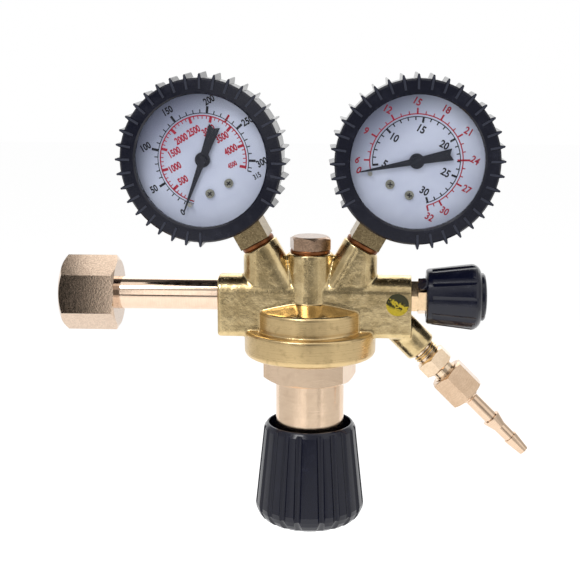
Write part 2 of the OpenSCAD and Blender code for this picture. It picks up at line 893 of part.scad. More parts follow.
module outlet_nut() color(rose_brass) at_outlet()
    translate([0, 0, union_t]) difference() {
        rotate([0, 0, 30]) hex_bar(union_af, union_end - union_t, 1.6, 1.4);
        translate([0, 0, -eps]) cylinder(r = 6 + run, h = union_end - union_t - 3.4);
        cylinder(r = 4.2 + run, h = 30);
    }

module hose_tail() color(rose_brass) at_outlet() difference() {
    rotate_extrude() polygon([
        [1.6, adapter_hex_end + 9.7],
        [2.2, adapter_hex_end + 9.7],
        [3.9, adapter_hex_end + 11.4],
        [5.7, adapter_hex_end + 11.6],
        [5.7, union_end - 3.7],
        [4.2, union_end - 3.7],
        [4.2, tail_shoulder_end],
        [3.2, tail_shoulder_end + 0.8],
        [3.2, tail_barb_t],
        [4.35, tail_barb_t],
        [4.35, tail_barb_t + 0.3],
        [2.9, tail_neck_t],
        [2.8, tail_barb2_t],
        [3.4, tail_barb2_t],
        [2.35, tail_tip_t],
        [1.6, tail_tip_t]
    ]);
}

module inspection_sticker() color("gold") at_axis()
    translate([39.8, -barrel_half, -2.4]) rotate([90, 0, 0]) cylinder(r = 5.1, h = 0.12);

// Small gauge pieces that both gauges share

module gauge_gaskets() color(copper)
    for (side = [-1, 1]) at_stem(side) translate([0, 0, boss_t]) rotate_extrude() polygon([
        [stem_thread_r + 0.1, 0],
        [7.4, 0],
        [7.8, 0.4],
        [7.8, gasket_t - 0.4],
        [7.4, gasket_t],
        [stem_thread_r + 0.1, gasket_t]
    ]);

module dial_screws() color(steel)
    for (side = [-1, 1], x = [-screw_x, screw_x]) at_gauge(side) translate([x, dial_y, screw_z])
        rotate([90, 0, 0]) difference() {
            union() {
                cylinder(r = 2, h = 0.9);
                translate([0, 0, -2.2]) cylinder(r = 0.58, h = 2.3);
            }
            translate([-2.5, -0.3, 0.45]) cube([5, 0.6, 1]);
        }

module stop_pins() color(steel)
    for (side = [-1, 1]) at_gauge(side)
        rotate([0, -(rest_angle + 4.3), 0]) translate([tube_mean_r, dial_y, 0]) rotate([90, 0, 0])
            cylinder(r = 0.95, h = 2.6);

// Gauge

module gauge_case(side) color(black) at_gauge(side) difference() {
    facing() translate([0, 0, case_front_y]) difference() {
        cylinder(r = case_r, h = case_back_y - case_front_y);
        translate([0, 0, -eps]) cylinder(r = case_r - 0.9, h = case_back_y - case_front_y - 0.9 + eps);
    }
    translate([0, 0, -case_r]) cube([block_af + 0.1, block_af + 0.1, 6], center = true);
}

// Ribs stand every ten degrees, except beside the stem
function rib_angles() = [for (a = [-90 + rib_gap + 5:rib_pitch:270 - rib_gap - 5]) a];

module boot_rib() {
    depth = boot_step_y - boot_front_y;
    root = boot_r - 0.6;
    rotate([90, 0, 0]) translate([0, 0, -boot_step_y]) linear_extrude(depth) polygon([
        [root, -1],
        [rib_r - 0.3, -0.42],
        [rib_r, -0.2],
        [rib_r, 0.2],
        [rib_r - 0.3, 0.42],
        [root, 1]
    ]);
    translate([31.5, boot_front_y - 0.35, -0.5]) cube([rib_r - 0.4 - 31.5, 1, 1]);
}

module gauge_boot(side) color(rubber) at_gauge(side) difference() {
    union() {
        facing() rotate_extrude() polygon([
            [window_r, boot_front_y + 0.8],
            [window_r + 0.8, boot_front_y],
            [boot_r - 0.8, boot_front_y],
            [boot_r, boot_front_y + 0.8],
            [boot_r, boot_front_y + 4.6],
            [boot_r - 0.4, boot_front_y + 5],
            [boot_r - 0.5, boot_step_y - 0.8],
            [boot_r - 1.2, boot_step_y],
            [sleeve_r, boot_step_y],
            [sleeve_r, boot_back_y - 1],
            [sleeve_r - 1, boot_back_y],
            [27, boot_back_y],
            [27, case_back_y],
            [case_r, case_back_y],
            [case_r, case_front_y],
            [window_r, case_front_y]
        ]);
        for (a = rib_angles()) rotate([0, -a, 0]) boot_rib();
    }
    translate([0, 0, -case_r - 1]) cube([block_af + 0.1, block_af + 0.1, 12], center = true);
}

module gauge_lens(side) color("#dfe8f0", 0.35) at_gauge(side)
    facing() translate([0, 0, lens_y]) cylinder(r = case_r - 0.95, h = lens_t);

module gauge_dial(side) color("white") at_gauge(side)
    facing() translate([0, 0, dial_y]) difference() {
        ring(case_r - 1, 1.2, dial_t);
        for (x = [-screw_x, screw_x]) translate([x, -screw_z, -eps]) cylinder(r = 0.62, h = 1);
    }

module needle_outline() {
    polygon([
        [-16, -2.6],
        [-14.8, 0],
        [-16, 2.6],
        [-9, 2.1],
        [0, 1.5],
        [needle_len, 0.25],
        [needle_len, -0.25],
        [0, -1.5],
        [-9, -2.1]
    ]);
    circle(r = 3.4);
}

module gauge_pointer(side) color(black) at_gauge(side)
    rotate([0, -rest_angle, 0]) {
        translate([0, pointer_y + pointer_t, 0]) rotate([90, 0, 0]) difference() {
            linear_extrude(pointer_t) needle_outline();
            translate([0, 0, -eps]) cylinder(r = arbor_r, h = 2);
        }
        facing() translate([0, 0, pointer_y - 0.9]) difference() {
            cylinder(r = 1.9, h = 0.9);
            translate([0, 0, 0.3]) cylinder(r = arbor_r, h = 2);
        }
    }

module gauge_pinion(side) color(steel) at_gauge(side) {
    facing() translate([0, 0, pointer_y - 0.55])
        cylinder(r = arbor_r - 0.01, h = plate_back_y + movement_t - pointer_y + 0.4);
    translate([0, gear_y + gear_w, 0]) rotate([90, 0, 0]) linear_extrude(gear_w) {
        circle(r = gear_module * (pinion_teeth / 2 - 1));
        for (i = [0:pinion_teeth - 1])
            rotate([0, 0, -90 + 360 / pinion_teeth * (i + 0.5)])
                polygon(concat([[0, 0]], tooth(pinion_teeth, gear_module)));
    }
}

// The sector starts at one end of its arc and has a spare tooth past each end of the travel
module gauge_sector(side) color(brass) at_gauge(side) translate([0, 0, pivot_z]) {
    step = 360 / sector_teeth;
    root = gear_module * (sector_teeth / 2 - 1);
    translate([0, gear_y + gear_w, 0]) rotate([90, 0, 0]) linear_extrude(gear_w) difference() {
        union() {
            for (i = [-1:8]) rotate([0, 0, 90 - step * i])
                polygon(concat([[root - 2, 0]], tooth(sector_teeth, gear_module)));
            intersection() {
                difference() {
                    circle(r = root);
                    circle(r = root - 2.2);
                }
                polygon([
                    [0, 0],
                    for (i = [-1.5:1:8.5]) 30 * [cos(90 - step * i), sin(90 - step * i)]
                ]);
            }
            rotate([0, 0, 90 - step * 3.5]) translate([-tail_r, -1.3]) square([root + tail_r - 1, 2.6]);
            circle(r = 2.4);
            rotate([0, 0, 90 - step * 3.5]) translate([-tail_r, 0]) circle(r = 1.3);
        }
        circle(r = arbor_r + run);
        rotate([0, 0, 90 - step * 3.5]) translate([-tail_r, 0]) circle(r = 0.5 + run);
    }
}

// The link joins the sector's tail to the tube's tip
module gauge_link(side) color(steel) at_gauge(side) {
    tail_a = 270 - 360 / sector_teeth * 3.5;
    tail = [tail_r * cos(tail_a), pivot_z + tail_r * sin(tail_a)];
    tip_a = tube_start - 4;
    tip = tube_mean_r * [cos(tip_a), sin(tip_a)];
    span = tip - tail;
    translate([tail.x, gear_y - rest_gap, tail.y])
        rotate([0, -atan2(span.y, span.x), 0]) rotate([90, 0, 0]) {
            linear_extrude(0.6) {
                circle(r = 1.2);
                translate([norm(span), 0]) circle(r = 1.2);
                translate([0, -0.7]) square([norm(span), 1.4]);
            }
            translate([0, 0, -gear_w]) cylinder(r = 0.5, h = gear_w + 0.3);
        }
}

module gauge_bourdon_tube(side) color(rose_brass) at_gauge(side) rotate([90, 0, 0]) {
    rotate([0, 0, tube_start]) rotate_extrude(angle = tube_sweep) translate([tube_mean_r, 0])
        difference() {
            union() {
                translate([-1.1, -2.4]) square([2.2, 4.8]);
                for (s = [-1, 1]) translate([0, s * 2.4]) circle(r = 1.1, $fn = 24);
            }
            translate([-0.6, -2.4]) square([1.2, 4.8]);
            for (s = [-1, 1]) translate([0, s * 2.4]) circle(r = 0.6, $fn = 24);
        }
    // closed tip with its lug
    rotate([0, 0, tube_start - 8]) rotate_extrude(angle = 8.5)
        translate([tube_mean_r - 1.4, -3.6]) square([2.8, 3.6 - gear_y]);
}

module movement_plate(foot_z) {
    difference() {
        union() {
            translate([-7, foot_z]) square([14, 3 - foot_z]);
            circle(r = 5);
        }
        circle(r = arbor_r + run);
        translate([0, pivot_z]) circle(r = arbor_r - 0.02);
    }
}

module gauge_movement(side) color(brass) at_gauge(side) difference() {
    union() {
        translate([0, plate_front_y + movement_t, 0]) rotate([90, 0, 0])
            linear_extrude(movement_t) movement_plate(pivot_z - 1.6);
        // the back plate reaches down onto the socket
        translate([0, plate_back_y + movement_t, 0]) rotate([90, 0, 0])
            linear_extrude(movement_t) movement_plate(-25);
        facing() translate([0, 0, plate_front_y]) {
            // sector pivot
            translate([0, -pivot_z, 0])
                cylinder(r = arbor_r - 0.02, h = plate_back_y + movement_t - plate_front_y);
            // spacers between the plates
            for (x = [-6, 6], z = [-12, 2]) translate([x, -z, movement_t])
                cylinder(r = 0.9, h = plate_back_y - plate_front_y - movement_t);
            // fixing screws
            for (x = [-4, 4]) translate([x, 21.5, plate_back_y - plate_front_y - 0.8])
                cylinder(r = 1.7, h = 0.9);
            // posts that carry the dial
            for (x = [-screw_x, screw_x])
                translate([x, -screw_z, dial_y + dial_t - plate_front_y])
                    cylinder(r = 1.5, h = plate_front_y - dial_y - dial_t + 0.1);
        }
    }
    for (x = [-screw_x, screw_x]) facing() translate([x, -screw_z, dial_y])
        cylinder(r = 0.6, h = 2.6);
}

module gauge_socket(side) color("#8a7a50") at_gauge(side) difference() {
    union() {
        // wrench block
        translate([-block_af / 2, -block_af / 2, -block_end])
            cube([block_af, block_af, block_end - case_r + 4]);
        // head inside the case
        translate([-6.6, plate_back_y + movement_t, -case_r + 3])
            cube([13.2, 9.4, case_r - 3 - socket_top]);
        // thread
        translate([0, 0, -stem_thread_end]) rotate_extrude() polygon([
            [0, 0],
            [stem_thread_r - 1, 0],
            [stem_thread_r, 1],
            [stem_thread_r, stem_thread_end - block_end - 1.5],
            [stem_thread_r - 0.8, stem_thread_end - block_end - 1],
            [stem_thread_r - 0.8, stem_thread_end - block_end + 1],
            [0, stem_thread_end - block_end + 1]
        ]);
        // foot that holds the Bourdon tube
        rotate([90, 0, 0]) rotate([0, 0, tube_start + tube_sweep])
            rotate_extrude(angle = 270 - tube_start - tube_sweep)
                translate([tube_mean_r - 2.4, -4.2]) square([4.8, 8.4]);
    }
    translate([0, 0, -stem_thread_end - eps])
        cylinder(r = 1.5, h = stem_thread_end - tube_mean_r + 1.6);
    // passage into the tube's open end
    translate([0, 0, -tube_mean_r]) rotate([0, -79, 0]) cylinder(r = 0.9, h = 11);
}

body();
inlet_tube();
inlet_nut();
inlet_seal();
inlet_filter();
top_plug();
plug_gasket();
poppet_spring();
poppet();
valve_seat();
diaphragm();
diaphragm_plate();
slip_ring();
spring_housing();
range_spring();
spring_button();
thrust_ball();
adjusting_screw();
pressure_knob();
pressure_knob_cap();
relief_body();
relief_spring();
relief_disc();
valve_bonnet();
gland_nut();
valve_spindle();
valve_disc();
spindle_oring();
flow_knob();
flow_knob_cap();
outlet_adapter();
outlet_nut();
hose_tail();
inspection_sticker();
gauge_gaskets();
dial_screws();
stop_pins();
gauge_case(-1);  // left_gauge_case
gauge_boot(-1);  // left_gauge_boot
gauge_lens(-1);  // left_gauge_lens
gauge_dial(-1);  // left_gauge_dial
gauge_pointer(-1);  // left_gauge_pointer
gauge_pinion(-1);  // left_gauge_pinion
gauge_sector(-1);  // left_gauge_sector
gauge_link(-1);  // left_gauge_link
gauge_bourdon_tube(-1);  // left_gauge_bourdon_tube
gauge_movement(-1);  // left_gauge_movement
gauge_socket(-1);  // left_gauge_socket
gauge_case(1);  // right_gauge_case
gauge_boot(1);  // right_gauge_boot
gauge_lens(1);  // right_gauge_lens
gauge_dial(1);  // right_gauge_dial
gauge_pointer(1);  // right_gauge_pointer
gauge_pinion(1);  // right_gauge_pinion
gauge_sector(1);  // right_gauge_sector
gauge_link(1);  // right_gauge_link
gauge_bourdon_tube(1);  // right_gauge_bourdon_tube
gauge_movement(1);  // right_gauge_movement
gauge_socket(1);  // right_gauge_socket
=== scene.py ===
"""Looks of the welding gas regulator: surfaces, dial print, fine threads, light and camera."""
import math

import bpy
from mathutils import Matrix, Vector


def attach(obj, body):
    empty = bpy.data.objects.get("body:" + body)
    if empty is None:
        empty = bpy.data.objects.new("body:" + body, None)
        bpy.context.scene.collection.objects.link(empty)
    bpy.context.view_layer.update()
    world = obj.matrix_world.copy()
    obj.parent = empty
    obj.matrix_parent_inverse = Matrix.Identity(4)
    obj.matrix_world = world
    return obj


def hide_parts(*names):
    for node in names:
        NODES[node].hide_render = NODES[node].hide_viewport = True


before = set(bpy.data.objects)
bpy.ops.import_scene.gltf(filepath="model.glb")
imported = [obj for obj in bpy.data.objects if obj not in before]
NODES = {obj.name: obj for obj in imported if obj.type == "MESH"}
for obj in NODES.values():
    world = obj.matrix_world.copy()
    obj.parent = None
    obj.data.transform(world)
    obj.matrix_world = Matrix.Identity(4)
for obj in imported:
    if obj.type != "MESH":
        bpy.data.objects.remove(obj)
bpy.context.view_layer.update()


MM = 0.001

# Places and sizes shared with the source, in millimetres and degrees
AXIS_X = 103.3
STEM_CROSS = 10.5
STEM_TILT = 29.3
GAUGE_T = 72.6
GAUGE_TURN = 4.5
BOOT_FRONT = 20.0
DIAL_Y = -12.6
SCREW_X = 4.9
SCREW_Z = -14.6
SCREW_HEAD = 0.9
OUTLET_CROSS = 27.0
OUTLET_TILT = 135
RELIEF_X = 17
RELIEF_Z = 1.6
STICKER_X = 39.8
STICKER_Z = -2.4

# Where the forging was cut: the round cup about its column, and the ends of the bosses and barrel
CUP_TOP = -2.3
CUP_R = 31
CUP_SIDE_R = 23.5
COLUMN_R = 10.8
COLUMN_TOP = 18.6
COLUMN_FACE_R = 12
BARREL_Y = 9.2
BARREL_BOTTOM = -18.7
BARREL_END = 45.2
BOSS_T = 26.2
BOSS_R = 9
OUTLET_END = 33.4

# Thread ridges on the outlet adapter
THREAD_ROOT = 5.48
THREAD_CREST = 6.0
THREAD_PITCH = 1.25
THREAD_START = 35.05
THREAD_END = 38.55

X_DIR = Vector((1, 0, 0))
Y_DIR = Vector((0, 1, 0))
Z_DIR = Vector((0, 0, 1))
INLET = Vector((0, 0, 0))
SPRING_AXIS = Vector((AXIS_X, 0, 0)) * MM
RELIEF = Vector((AXIS_X + RELIEF_X, 0, RELIEF_Z)) * MM
STICKER = Vector((AXIS_X + STICKER_X, 0, STICKER_Z)) * MM
OUTLET = Vector((AXIS_X + OUTLET_CROSS, 0, 0)) * MM
OUTLET_DIR = Vector((math.sqrt(0.5), 0, -math.sqrt(0.5)))
OUTLET_MATRIX = (
    Matrix.Scale(MM, 4)
    @ Matrix.Translation((AXIS_X + OUTLET_CROSS, 0, 0))
    @ Matrix.Rotation(math.radians(OUTLET_TILT), 4, "Y")
)


def gauge_matrix(side):
    """From a gauge's own frame in millimetres to the row frame in metres."""
    return (
        Matrix.Scale(MM, 4)
        @ Matrix.Translation((AXIS_X + side * STEM_CROSS, 0, 0))
        @ Matrix.Rotation(math.radians(side * STEM_TILT), 4, "Y")
        @ Matrix.Rotation(math.radians(side * GAUGE_TURN), 4, "Z")
        @ Matrix.Translation((0, 0, GAUGE_T))
    )


# Colour and node helpers
def rgb(r, g, b):
    """A colour as read off a screen, 0 to 255, in linear light."""
    out = []
    for c in (r, g, b):
        c /= 255
        out.append(c / 12.92 if c <= 0.04045 else ((c + 0.055) / 1.055) ** 2.4)
    return (*out, 1)


class Mat:
    """A material whose colour, roughness and bump come from procedural nodes."""

    def __init__(self, name, metallic=0.0, roughness=0.4):
        self.mat = bpy.data.materials.new(name)
        self.mat.use_nodes = True
        self.nt = self.mat.node_tree
        self.bsdf = self.nt.nodes["Principled BSDF"]
        self.set("Metallic", metallic)
        self.set("Roughness", roughness)
        self.coord = self.node("ShaderNodeTexCoord").outputs["Object"]
        self.normal = None

    def node(self, kind, **props):
        n = self.nt.nodes.new(kind)
        for key, value in props.items():
            setattr(n, key, value)
        return n

    def link(self, a, b):
        self.nt.links.new(a, b)

    def put(self, socket, value):
        if hasattr(value, "is_linked"):
            self.link(value, socket)
        else:
            socket.default_value = value

    def set(self, name, value):
        self.put(self.bsdf.inputs[name], value)

    def math(self, op, a, b=0.0, c=0.0):
        n = self.node("ShaderNodeMath", operation=op)
        for socket, value in zip(n.inputs, (a, b, c)):
            self.put(socket, value)
        return n.outputs[0]

    def mul(self, a, b):
        return self.math("MULTIPLY", a, b)

    def vmath(self, op, a, b=None, out="Vector"):
        n = self.node("ShaderNodeVectorMath", operation=op)
        self.put(n.inputs[0], a)
        if b is not None:
            self.put(n.inputs[1], b)
        return n.outputs[out]

    def noise(self, scale, detail=3, rough=0.55):
        n = self.node("ShaderNodeTexNoise")
        self.link(self.coord, n.inputs["Vector"])
        n.inputs["Scale"].default_value = scale
        n.inputs["Detail"].default_value = detail
        n.inputs["Roughness"].default_value = rough
        return n.outputs["Fac"]

    def noise_1d(self, w, scale):
        n = self.node("ShaderNodeTexNoise", noise_dimensions="1D")
        self.put(n.inputs["W"], w)
        n.inputs["Scale"].default_value = scale
        n.inputs["Detail"].default_value = 3
        return n.outputs["Fac"]

    def cells(self, scale):
        n = self.node("ShaderNodeTexVoronoi")
        self.link(self.coord, n.inputs["Vector"])
        n.inputs["Scale"].default_value = scale
        return n.outputs["Distance"]

    def span(self, value, low, high, to_low=0.0, to_high=1.0):
        n = self.node("ShaderNodeMapRange", interpolation_type="SMOOTHSTEP")
        for socket, v in zip(n.inputs, (value, low, high, to_low, to_high)):
            self.put(socket, v)
        return n.outputs[0]

    def mix(self, fac, a, b):
        n = self.node("ShaderNodeMix", data_type="RGBA")
        self.put(n.inputs["Factor"], fac)
        self.put(n.inputs["A"], a)
        self.put(n.inputs["B"], b)
        return next(o for o in n.outputs if o.type == "RGBA")

    def mixf(self, fac, a, b):
        n = self.node("ShaderNodeMix", data_type="FLOAT")
        self.put(n.inputs[0], fac)
        self.put(n.inputs[2], a)
        self.put(n.inputs[3], b)
        return n.outputs[0]

    def split(self, vector):
        n = self.node("ShaderNodeSeparateXYZ")
        self.link(vector, n.inputs[0])
        return n.outputs[0], n.outputs[1], n.outputs[2]

    def bump(self, height, strength, distance):
        n = self.node("ShaderNodeBump")
        n.inputs["Strength"].default_value = strength
        n.inputs["Distance"].default_value = distance
        self.link(height, n.inputs["Height"])
        if self.normal is not None:
            self.link(self.normal, n.inputs["Normal"])
        self.normal = n.outputs["Normal"]
        self.link(self.normal, self.bsdf.inputs["Normal"])

    def along(self, origin, axis):
        """Distance along an axis and distance from it, in metres."""
        rel = self.vmath("SUBTRACT", self.coord, tuple(origin))
        height = self.vmath("DOT_PRODUCT", rel, tuple(axis), "Value")
        scaled = self.node("ShaderNodeVectorMath", operation="SCALE")
        scaled.inputs[0].default_value = tuple(axis)
        self.link(height, scaled.inputs["Scale"])
        flat = self.vmath("SUBTRACT", rel, scaled.outputs[0])
        return height, self.vmath("LENGTH", flat, out="Value")


# Materials
def forged_brass():
    """Tumbled forging with scattered pits; the diaphragm cup is turned."""
    m = Mat("forged_brass", metallic=1.0)
    height, radius = m.along(SPRING_AXIS, Z_DIR)
    _, y, z = m.split(m.coord)
    below = m.span(height, (CUP_TOP + 0.2) * MM, (CUP_TOP - 0.2) * MM)
    ring = m.mul(m.span(radius, (COLUMN_R - 0.2) * MM, (COLUMN_R + 0.4) * MM),
                 m.span(radius, (CUP_R + 0.2) * MM, (CUP_R - 0.4) * MM))
    clear = m.math("MAXIMUM",
                   m.span(m.math("ABSOLUTE", y), (BARREL_Y - 0.15) * MM, BARREL_Y * MM),
                   m.span(z, (BARREL_BOTTOM + 0.2) * MM, (BARREL_BOTTOM - 0.2) * MM))
    turned = m.mul(m.mul(below, ring), clear)
    side = m.mul(turned, m.span(radius, CUP_SIDE_R * MM, (CUP_SIDE_R + 0.5) * MM))
    pits = m.span(m.noise(900, 2, 0.5), 0.64, 0.76)
    dents = m.noise(420, 2, 0.45)
    broad = m.noise(150, 3)
    rings = m.noise_1d(m.math("ADD", height, radius), 2600)
    scuffs = m.span(m.noise(330, 4, 0.6), 0.5, 0.75)
    forged_tone = m.mix(m.span(broad, 0.3, 0.7), rgb(188, 165, 120), rgb(220, 197, 150))
    dull = m.mul(m.math("MAXIMUM", pits, m.span(scuffs, 0.3, 1.0)), 0.3)
    forged_tone = m.mix(dull, forged_tone, rgb(136, 116, 82))
    turned_tone = m.mix(rings, rgb(196, 168, 120), rgb(222, 196, 148))
    turned_tone = m.mix(m.mul(scuffs, 0.45), turned_tone, rgb(140, 118, 78))
    m.set("Base Color", m.mix(turned, forged_tone, turned_tone))
    forged_rough = m.mixf(pits, m.mixf(dents, 0.18, 0.29), 0.38)
    turned_rough = m.mixf(side, m.mixf(rings, 0.14, 0.20), m.mixf(rings, 0.24, 0.34))
    m.set("Roughness", m.mixf(turned, forged_rough, turned_rough))
    fine_hill = m.math("SUBTRACT", m.mul(dents, 0.8), m.mul(pits, 0.4))
    forged_hill = m.math("MULTIPLY_ADD", broad, 2.2, fine_hill)
    m.bump(m.mixf(turned, forged_hill, m.mul(rings, 0.08)), 0.42, 0.00022)
    return m.mat


def turned_brass(name, origin, axis, low=(214, 184, 150), high=(240, 214, 184),
                 rough=(0.16, 0.28), lines=0.25, speckle=0.0, thread=None):
    """Lathe-turned brass; thread is (radius, pitch, start, end) of a bore thread, as grooves."""
    m = Mat(name, metallic=1.0)
    height, radius = m.along(origin, axis)
    rings = m.noise_1d(m.math("ADD", height, radius), 3400)
    cloud = m.noise(260, 4)
    tone = m.mix(rings, rgb(*low), rgb(*high))
    if speckle:
        grain = m.span(m.noise(1150, 3, 0.6), 0.40, 0.62)
        tone = m.mix(m.mul(grain, speckle), tone, rgb(*[int(c * 0.6) for c in low]))
    m.set("Base Color", m.mix(m.span(cloud, 0.4, 0.75, 0.0, 0.5), tone, rgb(*low)))
    m.set("Roughness", m.mixf(m.mul(rings, cloud), *rough))
    m.bump(rings, lines, 0.00005)
    if speckle:
        m.bump(grain, 0.4 * speckle, 0.00003)
    if thread:
        bore, pitch, start, end = thread
        fade = 0.2 * MM
        here = m.mul(m.span(radius, bore * 1.04, bore * 1.02), m.span(height, end, end - fade))
        here = m.mul(here, m.span(height, start, start + fade))
        wave = m.math("PINGPONG", m.math("DIVIDE", height, pitch), 0.5)
        m.bump(m.mul(wave, here), 1.0, pitch * 1.2)
    return m.mat


def hex_brass(name, origin, axis, low=(206, 174, 136), high=(238, 212, 176), speckle=0.12):
    """Hexagon bar with tumbled flats."""
    return turned_brass(name, origin, axis, low, high, (0.16, 0.30), 0.10, speckle)


def stem_brass():
    """Rough-milled brass of the gauge stems."""
    m = Mat("stem_brass", metallic=1.0)
    grain = m.span(m.noise(1300, 4, 0.6), 0.35, 0.65)
    m.set("Base Color", m.mix(grain, rgb(122, 106, 78), rgb(156, 138, 104)))
    m.set("Roughness", m.mixf(grain, 0.34, 0.26))
    m.bump(grain, 0.12, 0.0001)
    return m.mat


def thread_brass():
    """Cut thread, with a painted highlight on the crests and painted shade in the grooves."""
    m = Mat("thread_brass", metallic=1.0)
    _, radius = m.along(OUTLET, OUTLET_DIR)
    bright = m.span(radius, (THREAD_ROOT + 0.04) * MM, (THREAD_CREST - 0.24) * MM)
    # Painted highlight on the crests and painted shade in the grooves
    m.set("Base Color", m.mix(bright, rgb(64, 42, 22), rgb(250, 220, 164)))
    m.set("Roughness", m.mixf(m.noise(900, 3), 0.16, 0.28))
    return m.mat


def sintered_bronze():
    """Bronze balls pressed into a filter."""
    m = Mat("sintered_bronze", metallic=1.0)
    balls = m.cells(4500)
    m.set("Base Color", m.mix(balls, rgb(190, 160, 104), rgb(110, 88, 54)))
    m.set("Roughness", m.mixf(balls, 0.4, 0.7))
    m.bump(balls, 1.0, 0.0001)
    return m.mat


def clouded(name, scale, detail, low, high, rough, bump=None, metallic=0.0):
    """A plain surface whose tone, gloss and height follow one fine cloud."""
    m = Mat(name, metallic)
    cloud = m.noise(scale, detail)
    m.set("Base Color", m.mix(cloud, rgb(*low), rgb(*high)))
    m.set("Roughness", m.mixf(cloud, *rough))
    if bump:
        m.bump(cloud, *bump)
    return m.mat


def painted(name, low, high, rough):
    return clouded(name, 900, 4, low, high, rough, bump=(0.08, 0.00004))


def knob_plastic():
    """Moulded nylon with a fine skin and faint handling marks."""
    m = Mat("knob_plastic")
    skin = m.noise(2600, 3)
    marks = m.span(m.noise(240, 5, 0.65), 0.5, 0.75)
    m.set("Base Color", m.mix(marks, rgb(13, 15, 32), rgb(20, 22, 40)))
    m.set("Roughness", m.mixf(marks, 0.16, 0.28))
    m.set("Specular IOR Level", 0.4)
    m.bump(skin, 0.12, 0.00006)
    return m.mat


def boot_rubber(side, name):
    """Moulded rubber, with a painted highlight that lightens the crests of its front ridges."""
    m = Mat(name)
    turn = gauge_matrix(side)
    out_of_face, _ = m.along(turn.translation, -(turn.col[1].to_3d().normalized()))
    crest = m.span(out_of_face, (BOOT_FRONT + 0.05) * MM, (BOOT_FRONT + 0.2) * MM)
    skin = m.noise(1900, 4)
    dust = m.span(m.noise(150, 5, 0.65), 0.45, 0.8)
    dusty = m.mix(dust, rgb(14, 16, 30), rgb(23, 25, 40))
    # Painted highlight: the crests of the front ridges get a lighter tone
    m.set("Base Color", m.mix(crest, dusty, rgb(39, 42, 56)))
    m.set("Roughness", m.mixf(crest, m.mixf(dust, 0.18, 0.30), 0.42))
    m.set("Specular IOR Level", 0.4)
    m.bump(skin, 0.2, 0.00008)
    return m.mat


def dial_paint():
    """White enamel, with a painted shadow of the window's rim that darkens the upper left."""
    m = Mat("dial_paint", roughness=0.45)
    x, _, z = m.split(m.coord)
    centres = [gauge_matrix(side) @ Vector((0, 0, 0)) for side in (-1, 1)]
    middle = m.span(x, (AXIS_X - 1) * MM, (AXIS_X + 1) * MM, centres[0].x, centres[1].x)
    across = m.math("SUBTRACT", middle, x)
    height = m.math("SUBTRACT", z, centres[0].z)
    toward_rim_shadow = m.math("MULTIPLY_ADD", across, 0.66, m.mul(height, 0.75))
    tone = m.mix(m.span(m.noise(120, 2), 0.3, 0.75), rgb(206, 214, 238), rgb(214, 222, 244))
    # Painted shadow of the window's rim: the enamel darkens towards the upper left
    m.set("Base Color", m.mix(m.span(toward_rim_shadow, 0.004, 0.029), tone, rgb(140, 147, 174)))
    return m.mat


def lens_glass():
    """Thin clear window: mostly see-through, with a faint sheen of reflections."""
    m = Mat("lens", roughness=0.03)
    m.set("Base Color", (0.02, 0.02, 0.03, 1))
    m.set("Alpha", 0.07)
    m.set("IOR", 1.46)
    ripple = m.node("ShaderNodeTexNoise")
    ripple.inputs["Scale"].default_value = 60
    m.bump(ripple.outputs["Fac"], 0.02, 0.0002)
    m.mat.blend_method = "BLEND"
    return m.mat


def sticker():
    """Foil dot: dark upper part, gold lower part, worn where they meet."""
    m = Mat("sticker", roughness=0.25)
    height, _ = m.along(STICKER, Vector((0.35, 0, 0.94)))
    ragged = m.mul(m.math("SUBTRACT", m.noise(520, 4), 0.5), 0.006)
    dark = m.span(m.math("ADD", height, ragged), 0.0011, 0.0016)
    worn = m.mul(m.span(m.noise(700, 4, 0.6), 0.50, 0.54), m.span(height, -0.0030, -0.0012))
    gold = m.mix(m.noise(1300, 2), rgb(178, 156, 36), rgb(220, 194, 60))
    m.set("Base Color", m.mix(m.math("MAXIMUM", dark, worn), gold, rgb(52, 50, 24)))
    m.set("Metallic", m.mixf(dark, 0.55, 0.2))
    m.bump(m.noise(700, 3), 0.3, 0.0001)
    return m.mat


def ink(name, colour):
    m = Mat(name, roughness=0.5)
    faded = [min(255, c + 14) for c in colour]
    m.set("Base Color", m.mix(m.noise(1500, 2), rgb(*colour), rgb(*faded)))
    return m.mat


# Bore thread of the inlet nut: radius, pitch, start and end along the inlet's axis
NUT_THREAD = (9.75 * MM, 1.81 * MM, -9.6 * MM, 0.1 * MM)

